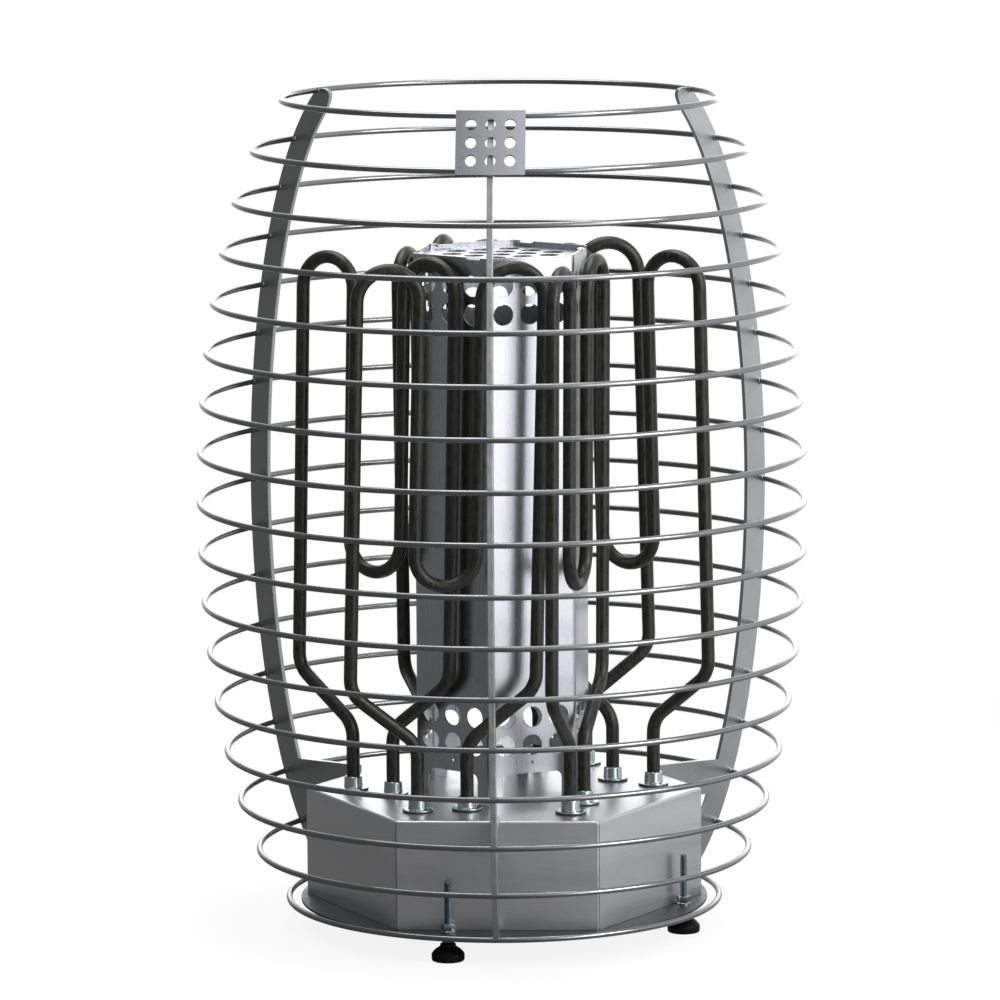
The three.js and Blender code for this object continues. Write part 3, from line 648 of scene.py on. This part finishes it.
BEAD_HALVES = np.array((0.0013, 0.0008, 0.0027))
BEAD_IN, BEAD_OFF, BEAD_SIDES, BEAD_ROWS, BEAD_END = 0.0022, 0.0004, 10, 6, 72
u, v = np.meshgrid(np.linspace(0, 2 * np.pi, BEAD_SIDES, endpoint=False),
                   np.radians(np.linspace(-BEAD_END, BEAD_END, BEAD_ROWS)))
ball = np.stack([np.cos(v) * np.cos(u), np.cos(v) * np.sin(u), np.sin(v)], -1).reshape(-1, 3)
beads = []
for azimuth in RIBS.values():
    for radius, height in zip(HOOP_RADII, HOOP_HEIGHTS):
        for side in (-1, 1):
            at = (radius - BEAD_IN, side * (RIB_HALF + BEAD_OFF), height)
            bead = about_axis(ball * BEAD_HALVES + at, azimuth)
            beads.append((bead, capped_faces(BEAD_ROWS, BEAD_SIDES)))
piece("weld-beads", joined(*beads), rod_steel, "stove", sharp=60)


# Name plate: a bare stainless plate across the two top hoops, bent to their curve and welded to them.
# Plain round holes pierce it, so that the hoops and the front rib show through.

PLATE_WIDTH, PLATE_HEIGHT, PLATE_SHEET, PLATE_GAP = 0.057, 0.050, 0.0020, 0.0008
PLATE_HOLE, PLATE_CELL, PLATE_ROW = 0.0045, 0.016, 0.014
plate_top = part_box("name_plate")[1].z
plate_lean = (HOOP_RADII[1] - HOOP_RADII[0]) / (HOOP_HEIGHTS[0] - HOOP_HEIGHTS[1])
plate_lines = np.linspace(-1.5, 1.5, 25) * PLATE_CELL
row_lines = np.linspace(-1.5, 1.5, 25) * PLATE_ROW


def in_margin(s, t):
    """True round the field of holes."""
    return (np.abs(s) > plate_lines[-1]) | (np.abs(t) > row_lines[-1])


plate_shapes = [lattice(np.array([-PLATE_WIDTH / 2, *plate_lines, PLATE_WIDTH / 2]),
                        np.array([-PLATE_HEIGHT / 2, *row_lines, PLATE_HEIGHT / 2]), in_margin)]
for row in (-1, 0, 1):
    for place in (-1, 0, 1):
        centre = (place * PLATE_CELL, row * PLATE_ROW)
        plate_shapes.append(cell_hole(centre, (PLATE_CELL / 2, PLATE_ROW / 2), PLATE_HOLE))
plate_flat, plate_faces = joined(*plate_shapes)
plate_height = plate_flat[:, 1] + plate_top - PLATE_HEIGHT / 2
plate_face = HOOP_RADII[0] + HOOP_ROD + PLATE_GAP + PLATE_SHEET * math.hypot(1, plate_lean)
plate_radius = plate_face + plate_lean * (HOOP_HEIGHTS[0] - plate_height)
plate_angle = math.radians(RIBS["rib_front"]) + plate_flat[:, 0] / plate_radius
plate_points = np.stack([plate_radius * np.cos(plate_angle), plate_radius * np.sin(plate_angle),
                         plate_height], -1)
name_plate = piece("name-plate", welded(plate_points, plate_faces), column_steel, "stove", ["name_plate"],
                   smooth=False)
plate_sheet = name_plate.modifiers.new("sheet", "SOLIDIFY")
plate_sheet.thickness = PLATE_SHEET
plate_sheet.offset = -1


# Studio: a pale floor in a white surround, which in reflections falls off to the left, to the front
# and towards the stove's own foot, as a room does. Camera rays see plain white, and the floor keeps
# a faint shadow.

BRIGHT_FROM = (0.91, 0.37, 0.2)
SURROUND_LEVELS = ((0, 0.19), (0.2, 0.23), (0.29, 0.25), (0.66, 1))
FLOOR_HALF, FLOOR_SHADE = 9, (0.92, 0.92, 0.92, 1)
DIM_REACH, DIM_SHARE = (0.2, 1.6), (0.28, 1)
SHADOW_REACH, SHADOW_SHARE = (0.25, 1.2), (0.88, 1)
WHITE = (1, 1, 1, 1)


def maths(tree, operation, first, second):
    """Output of a Math node on two sockets."""
    node = tree.nodes.new("ShaderNodeMath")
    node.operation = operation
    tree.links.new(first, node.inputs[0])
    tree.links.new(second, node.inputs[1])
    return node.outputs[0]


def ranged(tree, value, span, result, interpolation="LINEAR"):
    """Output of a Map Range node: the span of a value spread over a result."""
    node = tree.nodes.new("ShaderNodeMapRange")
    node.interpolation_type = interpolation
    node.inputs["From Min"].default_value, node.inputs["From Max"].default_value = span
    node.inputs["To Min"].default_value, node.inputs["To Max"].default_value = result
    tree.links.new(value, node.inputs["Value"])
    return node.outputs["Result"]


def surround_level(tree, direction, share=None):
    """1 for camera rays. Others get SURROUND_LEVELS by how much they face BRIGHT_FROM, times a share."""
    facing = tree.nodes.new("ShaderNodeVectorMath")
    facing.operation = "DOT_PRODUCT"
    facing.inputs[1].default_value = BRIGHT_FROM
    tree.links.new(direction, facing.inputs[0])
    grey = tree.nodes.new("ShaderNodeValToRGB")
    grey.color_ramp.interpolation = "EASE"
    stops = grey.color_ramp.elements
    stops.remove(stops[1])
    for place, level in SURROUND_LEVELS:
        stop = stops[0] if place == 0 else stops.new(place)
        stop.color = (level, level, level, 1)
    tree.links.new(ranged(tree, facing.outputs["Value"], (-1, 1), (0, 1)), grey.inputs["Fac"])
    seen = grey.outputs["Color"]
    if share:
        seen = maths(tree, "MULTIPLY", seen, share)
    path = tree.nodes.new("ShaderNodeLightPath")
    return maths(tree, "MAXIMUM", path.outputs["Is Camera Ray"], seen)


def seen_ray(tree):
    """1 for rays that come from the camera, from a reflection or through glass."""
    path = tree.nodes.new("ShaderNodeLightPath")
    direct = maths(tree, "MAXIMUM", path.outputs["Is Camera Ray"], path.outputs["Is Glossy Ray"])
    return maths(tree, "MAXIMUM", direct, path.outputs["Is Transmission Ray"])


floor_paint = bpy.data.materials.new("pale floor")
floor_paint.use_nodes = True
tree = floor_paint.node_tree
tree.nodes.remove(tree.nodes["Principled BSDF"])
matt = tree.nodes.new("ShaderNodeBsdfDiffuse")
matt.inputs["Color"].default_value = FLOOR_SHADE
spot = tree.nodes.new("ShaderNodeTexCoord")
outward = tree.nodes.new("ShaderNodeVectorMath")
outward.operation = "NORMALIZE"
tree.links.new(spot.outputs["Object"], outward.inputs[0])
reach = tree.nodes.new("ShaderNodeVectorMath")
reach.operation = "LENGTH"
tree.links.new(spot.outputs["Object"], reach.inputs[0])
dimmed = ranged(tree, reach.outputs["Value"], DIM_REACH, DIM_SHARE, "SMOOTHSTEP")
glow = tree.nodes.new("ShaderNodeEmission")
glow.inputs["Color"].default_value = WHITE
tree.links.new(surround_level(tree, outward.outputs["Vector"], dimmed), glow.inputs["Strength"])
unshadowed = ranged(tree, reach.outputs["Value"], SHADOW_REACH, SHADOW_SHARE)
blend = tree.nodes.new("ShaderNodeMixShader")
tree.links.new(maths(tree, "MULTIPLY", seen_ray(tree), unshadowed), blend.inputs["Fac"])
tree.links.new(matt.outputs[0], blend.inputs[1])
tree.links.new(glow.outputs[0], blend.inputs[2])
tree.links.new(blend.outputs[0], tree.nodes["Material Output"].inputs["Surface"])
floor_mesh = bpy.data.meshes.new("floor")
floor_mesh.from_pydata([(-FLOOR_HALF, -FLOOR_HALF, 0), (FLOOR_HALF, -FLOOR_HALF, 0),
                        (FLOOR_HALF, FLOOR_HALF, 0), (-FLOOR_HALF, FLOOR_HALF, 0)], [], [(0, 1, 2, 3)])
floor_mesh.materials.append(floor_paint)
floor = bpy.data.objects.new("floor", floor_mesh)
bpy.context.collection.objects.link(floor)

world = bpy.data.worlds.new("studio")
bpy.context.scene.world = world
world.use_nodes = True
tree = world.node_tree
background = tree.nodes["Background"]
background.inputs["Color"].default_value = WHITE
bearing = tree.nodes.new("ShaderNodeTexCoord")
tree.links.new(surround_level(tree, bearing.outputs["Generated"]), background.inputs["Strength"])


def soft_lamp(name, place, aim, size, power):
    """Oblong area lamp of (width, height) at a place, facing an aim point."""
    lamp = bpy.data.lights.new(name, "AREA")
    lamp.shape = "RECTANGLE"
    lamp.size, lamp.size_y = size
    lamp.energy = power
    obj = bpy.data.objects.new(name, lamp)
    obj.location = place
    obj.rotation_euler = (Vector(aim) - Vector(place)).to_track_quat("-Z", "Y").to_euler()
    bpy.context.collection.objects.link(obj)


soft_lamp("right lamp", (2.8, -1.6, 1.9), (0, 0, 0.35), (1.6, 1.6), 60)
soft_lamp("top lamp", (-0.3, 0.4, 3.0), (0, 0, 0.3), (2.0, 2.0), 52)
soft_lamp("low panel", (0.93, -1.1, 0.45), (0, 0, 0.35), (0.5, 0.9), 2.9)
soft_lamp("back panel", (0.3, 2.8, 0.9), (0, 0, 0.4), (2.6, 1.3), 12)


# Camera: a long lens a little above the top hoop, turned a few degrees off the front rib.
# It looks down at the stove from about five metres, so that the hoops show as flat ellipses.

CAMERA_PLACE = Vector((0.19196, -5.0398, 1.1086))
CAMERA_TURN, CAMERA_PITCH, CAMERA_ROLL = math.radians(2.2), math.radians(8.374), math.radians(-0.347)
SENSOR_WIDTH, FOCAL_LENGTH, VIEW_END = 36, 215.28, 60
camera_data = bpy.data.cameras.new("camera")
camera_data.sensor_width = SENSOR_WIDTH
camera_data.lens = FOCAL_LENGTH
camera_data.clip_end = VIEW_END
camera = bpy.data.objects.new("camera", camera_data)
aim = Matrix.Rotation(CAMERA_TURN, 4, "Z") @ Matrix.Rotation(math.pi / 2 - CAMERA_PITCH, 4, "X")
camera.matrix_world = Matrix.Translation(CAMERA_PLACE) @ aim @ Matrix.Rotation(CAMERA_ROLL, 4, "Z")
bpy.context.collection.objects.link(camera)
bpy.context.scene.camera = camera
